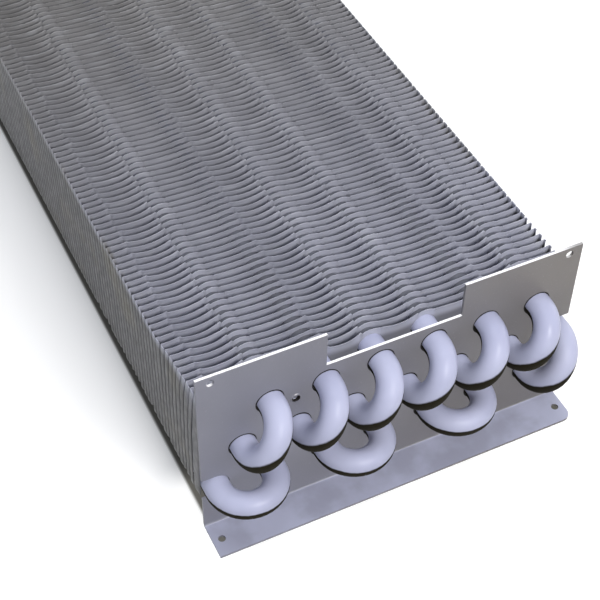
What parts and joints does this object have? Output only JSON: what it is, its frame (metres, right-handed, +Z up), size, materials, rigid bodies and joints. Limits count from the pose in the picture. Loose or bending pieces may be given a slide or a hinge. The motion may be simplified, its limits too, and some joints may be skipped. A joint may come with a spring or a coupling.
{
  "type": "finned tube evaporator coil",
  "caption": "Flat finned-tube evaporator slab: rippled fins on staggered hairpin tubes between two flanged, notched end plates.",
  "frame": {"origin": "middle of the footprint, on the surface that the two foot flanges stand on", "axes": "+X across the slab to the right as seen from the hairpin end, +Y along the tubes from the hairpin turns to the return bends, +Z up"},
  "size_m": [0.1778, 0.394, 0.098],
  "materials": {
    "coated_sheet": "satin silver-grey coat on folded sheet",
    "coated_tube": "satin silver-grey coat on drawn tube, bare and tarnished underneath",
    "fin_stock": "thin rippled sheet, dull"
  },
  "bodies": {
    "root": {"far_end_plate": "coated_sheet", "fins": "fin_stock", "hairpin_01": "coated_tube", "hairpin_02": "coated_tube", "hairpin_03": "coated_tube", "hairpin_04": "coated_tube", "hairpin_05": "coated_tube", "hairpin_06": "coated_tube", "hairpin_07": "coated_tube", "hairpin_08": "coated_tube", "hairpin_09": "coated_tube", "hairpin_10": "coated_tube", "inlet_stub": "coated_tube", "lower_return_bends": "coated_tube", "near_end_plate": "coated_sheet", "outlet_stub": "coated_tube", "upper_return_bends": "coated_tube"}
  },
  "joints": []
}
